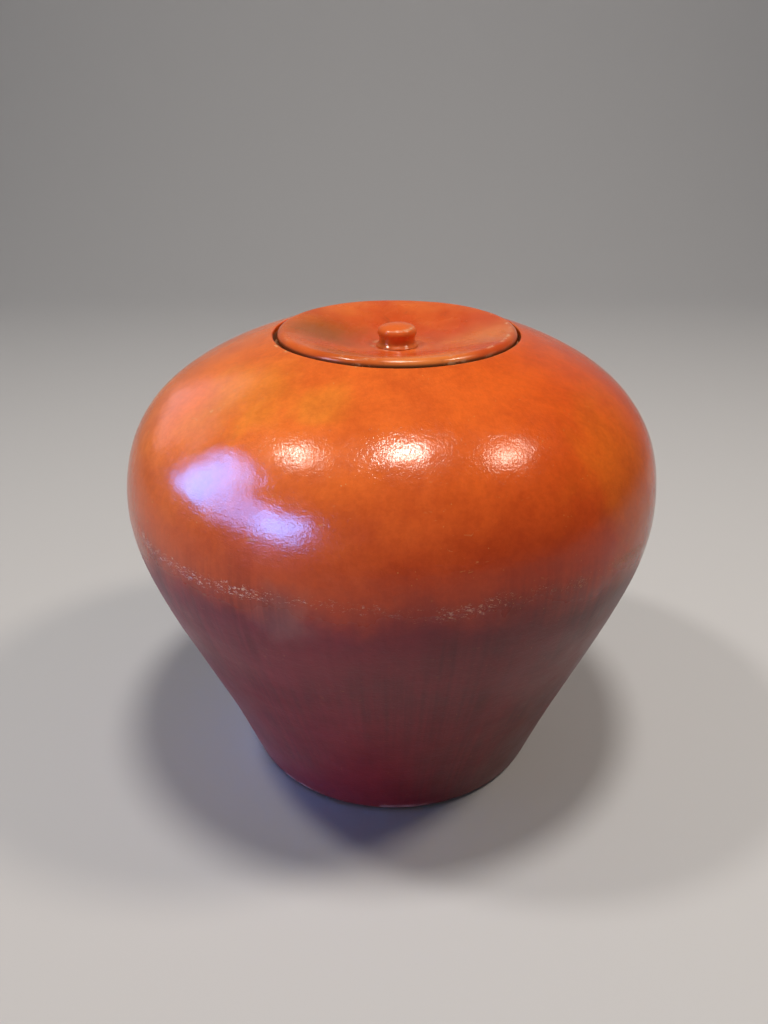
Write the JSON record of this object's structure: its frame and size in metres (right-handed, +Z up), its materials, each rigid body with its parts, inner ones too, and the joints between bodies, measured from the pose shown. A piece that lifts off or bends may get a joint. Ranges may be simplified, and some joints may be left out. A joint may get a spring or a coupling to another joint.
{
  "type": "lidded jar",
  "caption": "Burnished red clay storage jar with a wide rounded shoulder, tapering wall and a lift-out saucer lid with a stub knob.",
  "frame": {"origin": "middle of the flat foot, on the surface that the jar stands on", "axes": "+Z up along the jar's own axis, through the mouth and the knob; the jar is round, so X and Y are free"},
  "size_m": [0.3, 0.3, 0.2625],
  "materials": {
    "jar_red_burnish": "burnished red slip with a waxy gloss, darker oxblood below the belly",
    "seat_bare_clay": "bare fired clay, matt",
    "lid_red_burnish": "burnished red slip with olive fire clouds and a worn rim",
    "knob_red_burnish": "burnished red slip, handled and slightly rough"
  },
  "bodies": {
    "jar": {"jar_body": "jar_red_burnish", "lid_seat_ring": "seat_bare_clay"},
    "lid": {"lid_dish": "lid_red_burnish", "lid_knob": "knob_red_burnish"}
  },
  "joints": [
    {"name": "lid_lift", "type": "slide", "parent": "jar", "child": "lid", "axis": [0, 0, 1], "range_m": [0, 0.12]}
  ]
}
